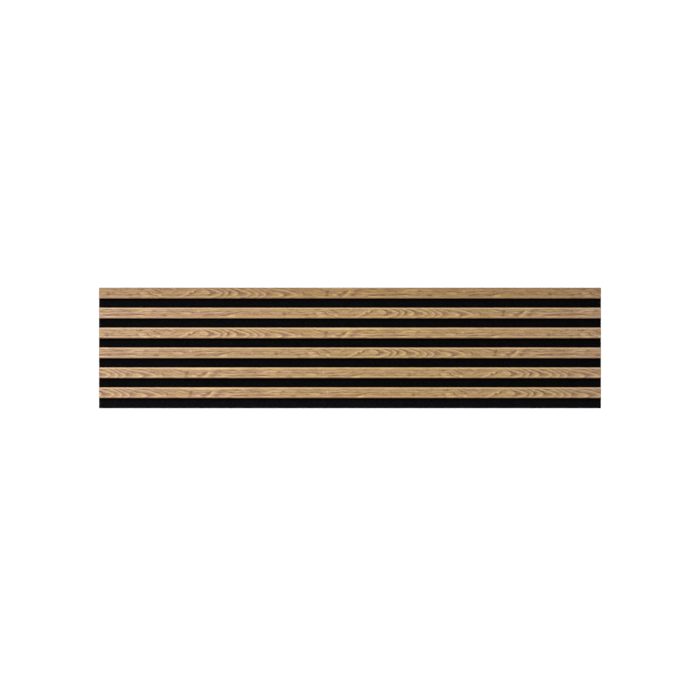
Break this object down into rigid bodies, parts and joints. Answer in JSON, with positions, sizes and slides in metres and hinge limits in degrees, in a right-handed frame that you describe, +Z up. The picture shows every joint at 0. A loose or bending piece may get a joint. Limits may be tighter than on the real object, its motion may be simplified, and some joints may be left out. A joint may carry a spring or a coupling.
{
  "type": "slatted wood wall panel",
  "caption": "Long flat wall panel of parallel wood-faced slats fixed to a black felt backing, with bare felt along one edge so that the next panel carries on the rhythm.",
  "frame": {"origin": "middle of the felt's back face, which lies on the wall", "axes": "+X along the slats, +Y out of the panel's back into the wall, +Z up, with the bare felt edge down"},
  "size_m": [1.25, 0.021, 0.3],
  "materials": {
    "oak_decor": "matt oak-pattern wrap on fibreboard, grain along the slat",
    "black_felt": "matt black needled polyester felt",
    "staple_steel": "galvanised flat wire"
  },
  "bodies": {
    "root": {"felt_backing": "black_felt", "slat_1": "oak_decor", "slat_2": "oak_decor", "slat_3": "oak_decor", "slat_4": "oak_decor", "slat_5": "oak_decor", "slat_6": "oak_decor", "rear_staples": "staple_steel"}
  },
  "joints": []
}
